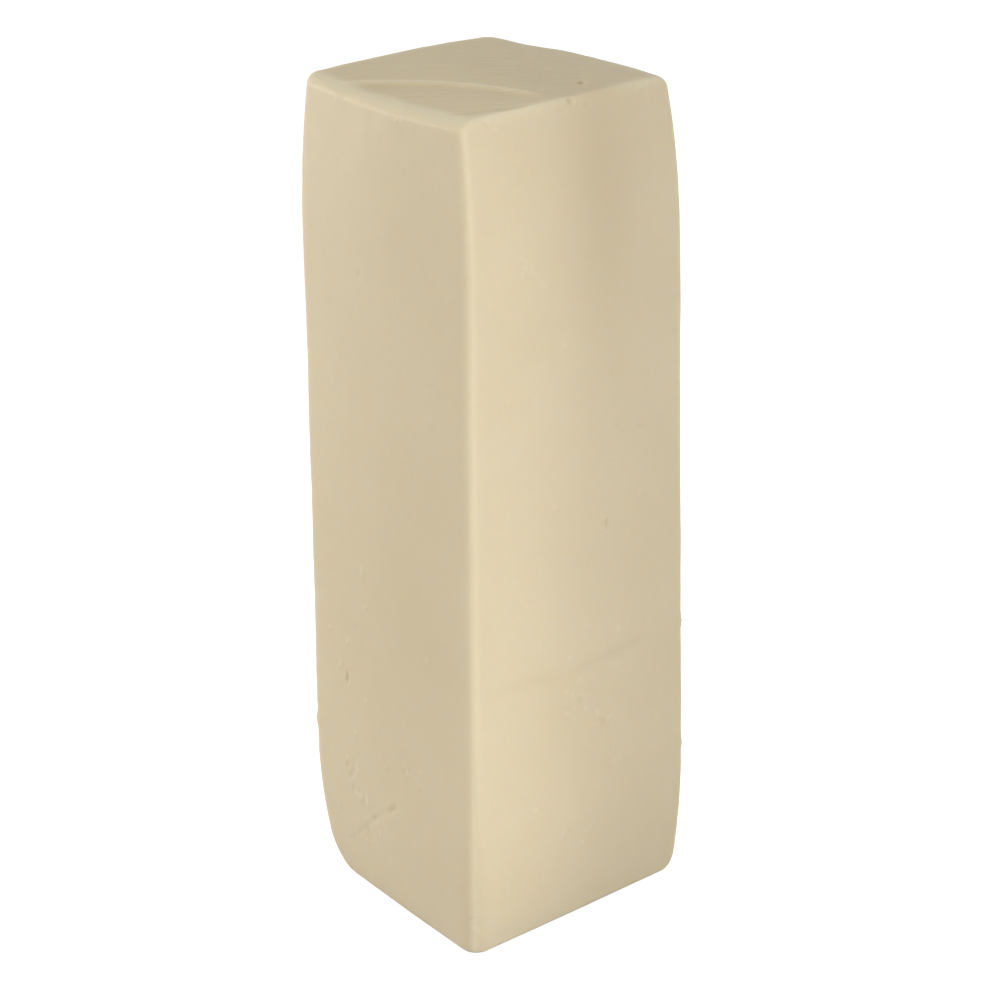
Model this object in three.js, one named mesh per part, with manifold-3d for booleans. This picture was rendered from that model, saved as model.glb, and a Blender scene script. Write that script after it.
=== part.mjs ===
// A loaf of Monterey Jack: one square block of pale cheese, bare and uncut, standing on its end.
// Millimetres, +Z up, with the origin in the middle of the foot. The front faces -Y, the left side -X.
import * as THREE from 'three';
import { mergeVertices } from 'three/addons/utils/BufferGeometryUtils.js';
import Module from 'manifold-3d';

// The plain block, before its ends draw in and its corners wander.
const HEIGHT = 270;
const WIDTH = 86;
const DEPTH = 88.5;

// Each side draws in towards the two ends, over this length and by these amounts.
const TOP_TAPER = { length: 50, front: 4, left: 1, back: 4.5, right: 4 };
const FOOT_TAPER = { length: 44, front: 2, left: 0.5, back: 9.5, right: 3.5 };

// The rim round the top: how far it reaches in from each side, and its height on that side.
const TOP_RIM = { front: 1.8, left: 4.4, back: 2.5, right: 2.5 };
const TOP_RIM_HEIGHT = { front: 4, left: 2.6, back: 2.5, right: 2.5 };
const NEAR_RIM = 5; // reach of the left side's rim at the front, where it is widest

// Radius of the rim round the foot, on each side.
const FOOT_RIM = { front: 2.6, left: 2.8, back: 12, right: 6.5 };

// Radii of the four upright edges, and the radii that they grow to over the length above their feet.
const EDGE_RADIUS = { frontLeft: 2.2, backLeft: 6.5, backRight: 9.5, frontRight: 5 };
const FOOT_EDGE_RADIUS = { length: 80, frontLeft: 7, backLeft: 6.5, backRight: 9.5, frontRight: 5 };
const LEAST_EDGE_RADIUS = 1.5; // what is left of an upright edge's radius where its sides draw in

// How far the middle of each side swells out past its edges, above the foot's taper.
const SWELL = { front: 2, left: 2, back: 1, right: 3 };

// How far each corner of the foot and of the top stands from the plain rectangle, along X and Y.
const FOOT_SHIFT = { frontLeft: [-3.4, -1.5], backLeft: [1, 1.5], backRight: [0, 0], frontRight: [2.7, -1.5] };
const TOP_SHIFT = { frontLeft: [0.5, -0.1], backLeft: [3, -1], backRight: [-3.5, 1.5], frontRight: [-0.5, 1] };

// How far the top face stands off its plain level: at the middle of each edge, at one corner and
// at its own middle. The sides follow it over the length below it.
const TOP_RISE = { front: 1, left: -0.9, back: 0.6, right: 0, backRight: -1, middle: 1.2, length: 58 };

// The crease where two cuts of the top meet: a low ridge on a bent line, and a dip where it
// reaches the front rim.
const CREASE = { start: [-38.5, 21.5], bend: [-14, -2.5], end: [-5, -37.5], radius: 2.5, proud: 0.8 };
const DIP = { across: -1, radius: 4, deep: 0.5 };

// Shallow grooves pressed into the sides: points as [across the side, height] on a smooth line.
const GROOVES = [
  { side: 'front', points: [[-36, 93.2], [-22, 92], [-7, 90.2]], radius: 3, deep: 0.2 },
  { side: 'front', points: [[-8, 91.2], [7, 91.4], [26, 93]], radius: 3, deep: 0.2 },
  { side: 'left', points: [[-4, 38], [6.5, 30], [18, 20], [27, 13]], radius: 1.5, deep: 0.2 },
];

// Small openings in the curd, as [across the side, height, width, lean to the left in degrees].
const PITS = {
  front: [[8, 137, 2, -8], [1, 101, 1.8, 0]],
  left: [[20, 75.5, 1.6, -6], [-4, 38, 2.2, -48], [6.5, 30, 1.6, 0], [-6, 53, 1.3, 0]],
  back: [[-17, 189, 1.8, -35], [10.5, 123, 2.2, 35], [-6, 59, 1.6, -35]],
  right: [[13.5, 215, 1.6, -35], [-11.5, 145, 2, 35], [20, 81, 1.8, -35], [-3, 40, 1.7, 35]],
  top: [[12.5, -30, 1.8, -39]],
};
const PIT_TALL = 1.6; // height of a pit for its width
const PIT_DEEP = 0.4; // depth of a pit for its width

// Fineness of the mesh: columns across each side, and rows up the foot's rim, the body and the top's rim.
const COLUMNS = 18;
const COLUMN_CROWDING = 1.6;
const ROWS = { foot: 6, body: 28, top: 4 };
const BAR_STEPS = 20;
const BAR_SEGMENTS = 10;
const HOLLOW_SEGMENTS = [12, 8];
const DIP_SEGMENTS = [28, 20];
const MERGE_DISTANCE = 1e-4;

const CHEESE = { color: 0xe9dcbc, roughness: 0.5, metalness: 0 };

const CORNERS = { frontLeft: [-1, -1], backLeft: [-1, 1], backRight: [1, 1], frontRight: [1, -1] };
const SIDES = {
  front: { outward: new THREE.Vector3(0, -1, 0), up: new THREE.Vector3(0, 0, 1) },
  left: { outward: new THREE.Vector3(-1, 0, 0), up: new THREE.Vector3(0, 0, 1) },
  back: { outward: new THREE.Vector3(0, 1, 0), up: new THREE.Vector3(0, 0, 1) },
  right: { outward: new THREE.Vector3(1, 0, 0), up: new THREE.Vector3(0, 0, 1) },
  top: { outward: new THREE.Vector3(0, 0, 1), up: new THREE.Vector3(0, 1, 0) },
};

const { clamp, degToRad, lerp } = THREE.MathUtils;
const wasm = await Module();
wasm.setup();

// How far a quarter-oval rim stands in from its side, at a distance from the end of the loaf.
function rimInset(distance, reach, height) {
  const rest = 1 - clamp(distance / height, 0, 1);
  return reach * (1 - Math.sqrt(1 - rest ** 2));
}

// How far the top's rim reaches in from a side. The left side's widens towards the front at t = -1.
function rimReach(side, t) {
  if (side !== 'left') return TOP_RIM[side];
  return lerp(TOP_RIM.left, NEAR_RIM, ((1 - t) / 2) ** 2);
}

// How far a side stands in from the plain block at a height, at a place t along Y.
function sideInset(side, t, z) {
  const upper = clamp((z - HEIGHT + TOP_TAPER.length) / TOP_TAPER.length, 0, 1);
  const lower = clamp((FOOT_TAPER.length - z) / FOOT_TAPER.length, 0, 1);
  const taper = TOP_TAPER[side] * upper ** 2 + FOOT_TAPER[side] * lower ** 2;
  const topRim = rimInset(HEIGHT - z, rimReach(side, t), TOP_RIM_HEIGHT[side]);
  return taper + topRim + rimInset(z, FOOT_RIM[side], FOOT_RIM[side]);
}

// The radius of an upright edge at a height, less the smaller inset of the two sides beside it.
function edgeRadius(corner, z, inset) {
  const [signX, signY] = CORNERS[corner];
  const nearest = Math.min(inset[signX < 0 ? 'left' : 'right'], inset[signY < 0 ? 'front' : 'back']);
  const grown = clamp(1 - z / FOOT_EDGE_RADIUS.length, 0, 1);
  const full = lerp(EDGE_RADIUS[corner], FOOT_EDGE_RADIUS[corner], grown);
  return Math.max(full - nearest, LEAST_EDGE_RADIUS);
}

// Draws a point of a rectangle's outline in to the round of the corner that it lies in, if any.
function roundCorner(point, corner, radius, low, high) {
  const [signX, signY] = CORNERS[corner];
  const centre = new THREE.Vector2(
    signX < 0 ? low.x + radius : high.x - radius,
    signY < 0 ? low.y + radius : high.y - radius,
  );
  const offset = point.clone().sub(centre);
  if (offset.x * signX > 0 && offset.y * signY > 0) point.copy(centre).add(offset.setLength(radius));
}

// Moves a point of the plan with the corners of the block, blended over its width, depth and height.
function shiftCorners(point, z) {
  const share = z / HEIGHT;
  const u = clamp((2 * point.x) / WIDTH, -1, 1);
  const v = clamp((2 * point.y) / DEPTH, -1, 1);
  const shift = new THREE.Vector2();
  for (const [corner, [signX, signY]] of Object.entries(CORNERS)) {
    const weight = ((1 + signX * u) * (1 + signY * v)) / 4;
    const foot = new THREE.Vector2(...FOOT_SHIFT[corner]);
    const top = new THREE.Vector2(...TOP_SHIFT[corner]);
    shift.addScaledVector(foot.lerp(top, share), weight);
  }
  point.add(shift);
}

// A point of the section's outline at a height, for a point (s, t) on the edge of the square -1 to 1.
// The sides' swell flattens to nothing down the foot's taper.
function sectionPoint(s, t, z) {
  const inset = {};
  for (const side of ['front', 'left', 'back', 'right']) inset[side] = sideInset(side, t, z);
  const low = new THREE.Vector2(-WIDTH / 2 + inset.left, -DEPTH / 2 + inset.front);
  const high = new THREE.Vector2(WIDTH / 2 - inset.right, DEPTH / 2 - inset.back);
  const middle = low.clone().lerp(high, 0.5);
  const half = high.clone().sub(middle);
  const point = new THREE.Vector2(s, t).multiply(half).add(middle);
  for (const corner of Object.keys(CORNERS)) {
    roundCorner(point, corner, edgeRadius(corner, z, inset), low, high);
  }
  const swollen = 1 - clamp(1 - z / FOOT_TAPER.length, 0, 1) ** 2;
  if (Math.abs(t) === 1) point.y += t * swollen * (t < 0 ? SWELL.front : SWELL.back) * (1 - s ** 2);
  if (Math.abs(s) === 1) point.x += s * swollen * (s < 0 ? SWELL.left : SWELL.right) * (1 - t ** 2);
  shiftCorners(point, z);
  return point;
}

// How far the top face stands off its plain level at a point of the plan.
function topRise(x, y) {
  const u = clamp((2 * x) / WIDTH, -1, 1);
  const v = clamp((2 * y) / DEPTH, -1, 1);
  const { front, back, left, right, backRight, middle } = TOP_RISE;
  const alongX = (1 - u ** 2) * ((front * (1 - v) + back * (1 + v)) / 2);
  const alongY = (1 - v ** 2) * ((left * (1 - u) + right * (1 + u)) / 2);
  const corner = (backRight * (1 + u) * (1 + v)) / 4;
  return alongX + alongY + corner + middle * (1 - u ** 2) * (1 - v ** 2);
}

// A point of the block's surface: (s, t) in the square -1 to 1, on its edge for a point of the
// sides and inside it for one of the two ends.
function blockPoint(s, t, z) {
  const reach = Math.max(Math.abs(s), Math.abs(t));
  const plan = new THREE.Vector2();
  if (reach > 0) plan.copy(sectionPoint(s / reach, t / reach, z)).multiplyScalar(reach);
  const follow = clamp((z - HEIGHT + TOP_RISE.length) / TOP_RISE.length, 0, 1) ** 2;
  return new THREE.Vector3(plan.x, plan.y, z + follow * topRise(plan.x, plan.y));
}

// A point on one side, by its distance across from the middle and its height; on the top, by X and Y.
function sidePoint(side, across, height) {
  if (side === 'top') return new THREE.Vector3(across, height, HEIGHT + topRise(across, height));
  const { outward } = SIDES[side];
  const s = outward.x || (2 * across) / WIDTH;
  const t = outward.y || (2 * across) / DEPTH;
  return blockPoint(s, t, height);
}

// Heights of the mesh's rows: close together over the two rims, even over the body between them.
function rowHeights() {
  const footRim = Math.max(...Object.values(FOOT_RIM));
  const topRim = Math.max(...Object.values(TOP_RIM_HEIGHT));
  const quarter = (step, steps) => (step / steps) * (Math.PI / 2);
  const heights = [];
  for (let i = 0; i < ROWS.foot; i++) heights.push(footRim * (1 - Math.cos(quarter(i, ROWS.foot))));
  const body = HEIGHT - footRim - topRim;
  for (let i = 0; i < ROWS.body; i++) heights.push(footRim + (body * i) / ROWS.body);
  for (let i = 0; i <= ROWS.top; i++) {
    heights.push(HEIGHT - topRim + topRim * Math.sin(quarter(i, ROWS.top)));
  }
  return heights;
}

// Crowds evenly spaced columns towards the two edges of a side.
function crowd(k) {
  return Math.sign(k) * (1 - (1 - Math.abs(k)) ** COLUMN_CROWDING);
}

// The block as a box of small panels, each corner of them moved onto the loaf's surface.
function blockGeometry() {
  const heights = rowHeights();
  const rows = heights.length - 1;
  const geometry = new THREE.BoxGeometry(2, 2, rows, COLUMNS, COLUMNS, rows);
  const position = geometry.getAttribute('position');
  for (let i = 0; i < position.count; i++) {
    const row = Math.round(position.getZ(i) + rows / 2);
    const point = blockPoint(crowd(position.getX(i)), crowd(position.getY(i)), heights[row]);
    position.setXYZ(i, point.x, point.y, point.z);
  }
  return geometry;
}

// A round bar along a smooth line of points.
function barGeometry(points, radius) {
  const section = new THREE.Shape();
  section.absarc(0, 0, radius, 0, 2 * Math.PI);
  return new THREE.ExtrudeGeometry(section, {
    steps: BAR_STEPS,
    curveSegments: BAR_SEGMENTS,
    bevelEnabled: false,
    extrudePath: new THREE.CatmullRomCurve3(points),
  });
}

// Runs along a bar's steps: -1 at its two ends and 1 at its middle, changing most near the ends.
function alongBar(step) {
  return 2 * Math.sqrt(Math.sin((Math.PI * step) / BAR_STEPS)) - 1;
}

// The crease's bar: it lies just under the top face, stands proud of it along its middle and
// sinks away towards its ends.
function creaseGeometry() {
  const line = new THREE.QuadraticBezierCurve(
    new THREE.Vector2(...CREASE.start),
    new THREE.Vector2(...CREASE.bend),
    new THREE.Vector2(...CREASE.end),
  );
  const points = line.getPoints(BAR_STEPS).map(({ x, y }, step) => {
    const proud = CREASE.proud * alongBar(step);
    return new THREE.Vector3(x, y, HEIGHT + topRise(x, y) - CREASE.radius + proud);
  });
  return barGeometry(points, CREASE.radius);
}

// A groove's bar: it lies outside its side, bites into it along its middle and lifts away at its ends.
function grooveGeometry({ side, points, radius, deep }) {
  const line = new THREE.SplineCurve(points.map((point) => new THREE.Vector2(...point)));
  const bar = line.getPoints(BAR_STEPS).map((at, step) => {
    const bite = deep * alongBar(step);
    return sidePoint(side, at.x, at.y).addScaledVector(SIDES[side].outward, radius - bite);
  });
  return barGeometry(bar, radius);
}

// A rounded hollow at a point of a side: a ball flattened to its width, height and depth.
function hollowGeometry(side, centre, wide, tall, deep, lean) {
  const { outward, up } = SIDES[side];
  const across = new THREE.Vector3().crossVectors(up, outward);
  const place = new THREE.Matrix4().makeBasis(across, up, outward).setPosition(centre);
  return new THREE.SphereGeometry(1, ...HOLLOW_SEGMENTS)
    .scale(wide / 2, tall / 2, deep)
    .rotateZ(lean)
    .applyMatrix4(place);
}

// The pits of all the sides.
function pitGeometries() {
  return Object.entries(PITS).flatMap(([side, pits]) =>
    pits.map(([across, height, wide, lean]) => {
      const centre = sidePoint(side, across, height);
      return hollowGeometry(side, centre, wide, wide * PIT_TALL, wide * PIT_DEEP, degToRad(lean));
    }),
  );
}

// The dip in the front rim, at the end of the crease: a ball pressed into the middle of the round.
function dipGeometry() {
  const outward = new THREE.Vector3(0, -Math.SQRT1_2, Math.SQRT1_2);
  const drop = TOP_RIM_HEIGHT.front * (1 - Math.SQRT1_2);
  const centre = sidePoint('front', DIP.across, HEIGHT - drop);
  centre.addScaledVector(outward, DIP.radius - DIP.deep);
  return new THREE.SphereGeometry(DIP.radius, ...DIP_SEGMENTS).translate(centre.x, centre.y, centre.z);
}

// A closed geometry as a solid that can be joined and cut.
function solidOf(geometry) {
  const bare = new THREE.BufferGeometry();
  bare.setAttribute('position', geometry.getAttribute('position'));
  bare.setIndex(geometry.getIndex());
  const merged = mergeVertices(bare, MERGE_DISTANCE);
  const vertProperties = merged.getAttribute('position').array;
  const triVerts = new Uint32Array(merged.getIndex().array);
  return new wasm.Manifold(new wasm.Mesh({ numProp: 3, vertProperties, triVerts }));
}

// A solid as a geometry, moved so that the middle of its foot is at the origin.
function standingGeometry(solid) {
  const { vertProperties, triVerts } = solid.getMesh();
  const geometry = new THREE.BufferGeometry();
  geometry.setAttribute('position', new THREE.BufferAttribute(vertProperties, 3));
  geometry.setIndex(new THREE.BufferAttribute(triVerts, 1));
  geometry.computeBoundingBox();
  const { min, max } = geometry.boundingBox;
  geometry.translate(-(min.x + max.x) / 2, -(min.y + max.y) / 2, -min.z);
  geometry.computeVertexNormals();
  return geometry;
}

// The whole loaf: the block with its crease joined on, and its dip, grooves and pits cut in.
function cheeseLoaf() {
  let solid = solidOf(blockGeometry()).add(solidOf(creaseGeometry()));
  const cutters = [dipGeometry(), ...GROOVES.map(grooveGeometry), ...pitGeometries()];
  for (const cutter of cutters) solid = solid.subtract(solidOf(cutter));
  const loaf = new THREE.Mesh(standingGeometry(solid), new THREE.MeshStandardMaterial(CHEESE));
  loaf.name = 'cheese_loaf';
  return loaf;
}

const montereyJack = new THREE.Group();
montereyJack.name = 'monterey_jack';
montereyJack.add(cheeseLoaf());

export default montereyJack;
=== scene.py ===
"""Dresses a loaf of Monterey Jack: one tall square block of pale cheese, bare and uncut, on its end.

The loaf's skin is worked out with numpy in millimetres. The front faces -Y, the left side -X and the
top +Z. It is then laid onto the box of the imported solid, in metres.
"""

import logging
import math
from dataclasses import dataclass
from enum import Enum
from functools import cached_property

import bmesh
import bpy
import numpy as np
from mathutils import Matrix, Vector


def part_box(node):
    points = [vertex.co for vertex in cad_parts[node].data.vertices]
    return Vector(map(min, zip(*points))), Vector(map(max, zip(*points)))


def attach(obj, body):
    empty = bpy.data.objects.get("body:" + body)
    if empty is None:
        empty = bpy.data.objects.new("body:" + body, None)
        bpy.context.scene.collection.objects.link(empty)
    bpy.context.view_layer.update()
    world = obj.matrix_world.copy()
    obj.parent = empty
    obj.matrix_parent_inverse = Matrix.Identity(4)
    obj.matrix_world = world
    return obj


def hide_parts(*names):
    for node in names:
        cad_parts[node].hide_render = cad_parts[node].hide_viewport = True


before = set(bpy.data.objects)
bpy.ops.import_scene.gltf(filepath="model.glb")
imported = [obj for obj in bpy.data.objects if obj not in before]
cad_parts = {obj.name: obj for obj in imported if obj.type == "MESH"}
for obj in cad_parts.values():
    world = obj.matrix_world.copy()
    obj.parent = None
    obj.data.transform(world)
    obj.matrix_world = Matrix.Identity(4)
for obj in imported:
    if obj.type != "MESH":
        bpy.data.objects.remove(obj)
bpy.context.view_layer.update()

Array = np.ndarray
Colour = tuple[float, float, float]

NODE = "cheese_loaf"
MM = 0.001
TINY = 1e-9

# Steepness of the bell that shapes a mark, and of the wider bell that leaves its lip.
MARK_STEEPNESS = 1.4
LIP_STEEPNESS = 0.45

log = logging.getLogger("monterey_jack")


class Side(Enum):
    """A face of the loaf, as the axis that it stands across and the end of that axis."""

    FRONT = (1, -1)
    LEFT = (0, -1)
    BACK = (1, 1)
    RIGHT = (0, 1)
    TOP = (2, 1)

    @property
    def outward(self) -> Array:
        """The direction that the face looks in."""
        axis, end = self.value
        return np.eye(3)[axis] * end

    @property
    def upward(self) -> Array:
        """The direction up the face, or towards the back on the top."""
        return np.eye(3)[1 if self is Side.TOP else 2]

    @property
    def rightward(self) -> Array:
        """The direction across the face, to the right for someone who looks at it."""
        return np.cross(self.upward, self.outward)


@dataclass(frozen=True)
class PerSide:
    """One size for each upright side, in millimetres."""

    front: float
    left: float
    back: float
    right: float

    @property
    def column(self) -> Array:
        """The four sizes as a column, front, left, back and right."""
        return np.array([[self.front], [self.left], [self.back], [self.right]])


@dataclass(frozen=True)
class UprightEdge:
    """One upright edge of the block, at the corner of the plan that the two signs give.

    Attributes:
        sign_x: Which end of X the edge stands at.
        sign_y: Which end of Y the edge stands at.
        radius: The radius that the edge is rounded to.
        foot_radius: The radius that it grows to at its foot.
        foot_shift: How far the edge's foot stands from the plain rectangle's corner, along X and Y.
        top_shift: The same for the edge's top.
    """

    sign_x: int
    sign_y: int
    radius: float
    foot_radius: float
    foot_shift: tuple[float, float]
    top_shift: tuple[float, float]

    def rounded(self, plan: Array, low: Array, high: Array, radius: Array) -> Array:
        """Draws the points of a rectangle's outline in to the round of this corner.

        A point in the corner's own square moves along the line from the round's centre, until it is
        one radius away from that centre.

        Args:
            plan: X and Y of the outline's points, as two rows.
            low: X and Y of the rectangle's low corner at each point's height.
            high: The same for its high corner.
            radius: The round's radius at each point's height.

        Returns:
            The points, with those of the corner moved.
        """
        sign = np.array([[self.sign_x], [self.sign_y]])
        centre = np.where(sign < 0, low + radius, high - radius)
        offset = plan - centre
        inside = np.all(offset * sign > 0, axis=0)
        length = np.maximum(np.hypot(*offset), TINY)
        return np.where(inside, centre + offset * radius / length, plan)

    def shift(self, share: Array) -> Array:
        """Gives the edge's offset along X and Y, at a share of the height from the foot to the top."""
        foot, top = np.array([self.foot_shift, self.top_shift])
        return foot[:, None] + (top - foot)[:, None] * share


@dataclass(frozen=True)
class TopRise:
    """How far the top stands off its plain level, in millimetres.

    Attributes:
        front: The rise at the middle of the front edge.
        left: The same for the left edge.
        back: The same for the back edge.
        right: The same for the right edge.
        back_right: The rise at the corner at the back right.
        middle: The rise at the middle of the top.
        followed_over: The length below the top over which the sides follow the rise.
    """

    front: float = 1.0
    left: float = -0.9
    back: float = 0.6
    right: float = 0.0
    back_right: float = -1.0
    middle: float = 1.2
    followed_over: float = 58.0

    def at(self, u: Array, v: Array) -> Array:
        """Works out the rise over the plan.

        Each edge's rise is a parabola along the edge that fades in a straight line towards the opposite
        edge. The corner's rise fades in a straight line both ways, and the middle's is a parabola both
        ways.

        Args:
            u: The place along X, from -1 at the left to 1 at the right.
            v: The place along Y, from -1 at the front to 1 at the back.

        Returns:
            The rise in millimetres.
        """
        along_x = (1 - u**2) * (self.front * (1 - v) + self.back * (1 + v)) / 2
        along_y = (1 - v**2) * (self.left * (1 - u) + self.right * (1 + u)) / 2
        corner = self.back_right * (1 + u) * (1 + v) / 4
        return along_x + along_y + corner + self.middle * (1 - u**2) * (1 - v**2)


@dataclass(frozen=True)
class Block:
    """The bare block: a rectangle with four rounded edges, whose sides draw in towards both ends.

    Attributes:
        height: Height of the plain block.
        width: Its width along X.
        depth: Its depth along Y.
        top_taper: How far each side draws in at the top.
        top_taper_length: The length below the top over which it does.
        foot_taper: How far each side draws in at the foot.
        foot_taper_length: The length above the foot over which it does.
        top_rim: How far the rim round the top reaches in from each side.
        near_rim: How far the left side's rim reaches in at the front, where it is widest.
        top_rim_height: Height of that rim.
        foot_rim: Radius of the rim round the foot.
        swell: How far the middle of each side swells out past its edges.
        edges: The four upright edges.
        foot_round_length: The length above the foot over which the edges' radii grow.
        least_edge_radius: What is left of an edge's radius where its sides draw in.
        rise: The unevenness of the top.
    """

    height: float = 270.0
    width: float = 86.0
    depth: float = 88.5
    top_taper: PerSide = PerSide(front=4.0, left=1.0, back=4.5, right=4.0)
    top_taper_length: float = 50.0
    foot_taper: PerSide = PerSide(front=2.0, left=0.5, back=9.5, right=3.5)
    foot_taper_length: float = 44.0
    top_rim: PerSide = PerSide(front=1.8, left=4.4, back=2.5, right=2.5)
    near_rim: float = 5.0
    top_rim_height: PerSide = PerSide(front=4.0, left=2.6, back=2.5, right=2.5)
    foot_rim: PerSide = PerSide(front=2.6, left=2.8, back=12.0, right=6.5)
    swell: PerSide = PerSide(front=2.0, left=2.0, back=1.0, right=3.0)
    edges: tuple[UprightEdge, ...] = (
        UprightEdge(-1, -1, 2.2, 7.0, foot_shift=(-3.4, -1.5), top_shift=(0.5, -0.1)),
        UprightEdge(-1, 1, 6.5, 6.5, foot_shift=(1.0, 1.5), top_shift=(3.0, -1.0)),
        UprightEdge(1, 1, 9.5, 9.5, foot_shift=(0.0, 0.0), top_shift=(-3.5, 1.5)),
        UprightEdge(1, -1, 5.0, 5.0, foot_shift=(2.7, -1.5), top_shift=(-0.5, 1.0)),
    )
    foot_round_length: float = 80.0
    least_edge_radius: float = 1.5
    rise: TopRise = TopRise()

    @property
    def half(self) -> Array:
        """Half the block's width, depth and height."""
        return np.array([self.width, self.depth, self.height]) / 2

    @staticmethod
    def rim_inset(distance: Array, reach: Array, height: Array) -> Array:
        """How far a quarter-oval rim stands in from its side, at a distance from the end of the loaf."""
        rest = 1 - np.clip(distance / height, 0, 1)
        return reach * (1 - np.sqrt(1 - rest**2))

    def insets(self, t: Array, z: Array) -> Array:
        """Works out how far each side stands in from the plain block.

        A taper grows with the square of the way into it, and each rim adds its quarter oval. The left
        side's rim at the top widens towards the front with the square of the way there.

        Args:
            t: The place along Y in the square from -1 to 1.
            z: Heights up the plain block.

        Returns:
            Four rows of insets: front, left, back and right.
        """
        upper = np.clip((z - self.height) / self.top_taper_length + 1, 0, 1)
        lower = np.clip(1 - z / self.foot_taper_length, 0, 1)
        taper = self.top_taper.column * upper**2 + self.foot_taper.column * lower**2
        foot_rim = self.rim_inset(z, self.foot_rim.column, self.foot_rim.column)
        widened = np.array([[0], [self.near_rim - self.top_rim.left], [0], [0]]) * ((1 - t) / 2) ** 2
        top_rim = self.rim_inset(self.height - z, self.top_rim.column + widened, self.top_rim_height.column)
        return taper + foot_rim + top_rim

    def section(self, s: Array, t: Array, z: Array) -> Array:
        """Works out points of the block's outline at their heights.

        The square's edge is stretched to the rectangle between the insets. Its corners are rounded, and
        its sides swell by a parabola, which flattens to nothing at the foot with the square of the way
        down the taper. The whole follows the four corners' shifts, blended in straight lines.

        Args:
            s: The place along X on the edge of the square from -1 to 1.
            t: The same along Y.
            z: Heights up the plain block.

        Returns:
            X and Y of the points, as two rows.
        """
        front, left, back, right = self.insets(t, z)
        low = np.stack([left - self.width / 2, front - self.depth / 2])
        high = np.stack([self.width / 2 - right, self.depth / 2 - back])
        plan = (low + high) / 2 + np.stack([s, t]) * (high - low) / 2
        grown = np.clip(1 - z / self.foot_round_length, 0, 1)
        for edge in self.edges:
            beside = np.minimum(left if edge.sign_x < 0 else right, front if edge.sign_y < 0 else back)
            full = edge.radius + (edge.foot_radius - edge.radius) * grown
            radius = np.maximum(full - beside, self.least_edge_radius)
            plan = edge.rounded(plan, low, high, radius)
        swollen = 1 - np.clip(1 - z / self.foot_taper_length, 0, 1) ** 2
        swell_x = np.where(s < 0, self.swell.left, self.swell.right) * (1 - t**2) * swollen
        swell_y = np.where(t < 0, self.swell.front, self.swell.back) * (1 - s**2) * swollen
        plan[0] += np.where(np.abs(s) == 1, s * swell_x, 0)
        plan[1] += np.where(np.abs(t) == 1, t * swell_y, 0)
        u, v = self.share_of_plan(*plan)
        corner_shares = [(edge, (1 + edge.sign_x * u) * (1 + edge.sign_y * v) / 4) for edge in self.edges]
        return plan + sum(share * edge.shift(z / self.height) for edge, share in corner_shares)

    def share_of_plan(self, x: Array, y: Array) -> tuple[Array, Array]:
        """Gives a place in the plan from -1 to 1 along the block's width and depth."""
        return np.clip(2 * x / self.width, -1, 1), np.clip(2 * y / self.depth, -1, 1)

    def points(self, s: Array, t: Array, z: Array) -> Array:
        """Works out points of the bare block's skin.

        A place inside the square lies on an end of the block, and is the outline's point in its direction,
        drawn in by its distance from the square's middle. The top's rise is added to the heights, and
        fades with the square of the way down the sides.

        Args:
            s: The place along X in the square from -1 to 1.
            t: The same along Y.
            z: Heights up the plain block.

        Returns:
            The points in millimetres, one to a row.
        """
        reach = np.maximum(np.maximum(np.abs(s), np.abs(t)), TINY)
        x, y = self.section(s / reach, t / reach, z) * reach
        follow = np.clip((z - self.height) / self.rise.followed_over + 1, 0, 1) ** 2
        return np.stack([x, y, z + follow * self.rise.at(*self.share_of_plan(x, y))], axis=1)

    def spot(self, side: Side, across: float, up: float) -> Array:
        """Finds one point of a face.

        Args:
            side: The face.
            across: The distance from the face's middle, along X or Y.
            up: The height, or Y on the top.

        Returns:
            The point in millimetres.
        """
        if side is Side.TOP:
            return np.array([across, up, self.height + self.rise.at(*self.share_of_plan(across, up))])
        axis, end = side.value
        place = np.array([[across / self.half[0]], [across / self.half[1]], [up]])
        place[axis] = end
        return self.points(*place)[0]


@dataclass
class Skin:
    """Places all over the loaf's skin.

    Attributes:
        block: The bare block.
        lattice: Each place's s and t, in the square from -1 to 1, and its height up the plain block.
    """

    block: Block
    lattice: Array

    @cached_property
    def points(self) -> Array:
        """The places on the bare block, in millimetres."""
        return self.block.points(*self.lattice.T)

    def on(self, side: Side) -> Array:
        """Tells which places lie on a face."""
        axis, end = side.value
        return self.lattice[:, axis] == (self.block.height if side is Side.TOP else end)

    def flat(self, side: Side) -> tuple[Array, Array]:
        """Lays the places out flat over a face.

        Args:
            side: The face.

        Returns:
            Each place's distance across the face from its middle and its height, or X and Y on the top.
        """
        if side is Side.TOP:
            return self.points[:, 0], self.points[:, 1]
        across = 1 - side.value[0]
        return self.lattice[:, across] * self.block.half[across], self.lattice[:, 2]

    def edge_gap(self) -> Array:
        """Works out each place's distance from the nearest edge of the block.

        A place's gaps from the ends of the three axes are sorted. The smallest is that of the face that it
        lies on, and the next is its distance from an edge.

        Returns:
            The distances in millimetres.
        """
        half = self.block.half
        s, t, z = self.lattice.T
        place = np.abs(np.stack([s, t, z / half[2] - 1], axis=1))
        return np.sort((1 - place) * half, axis=1)[:, 1]


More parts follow.
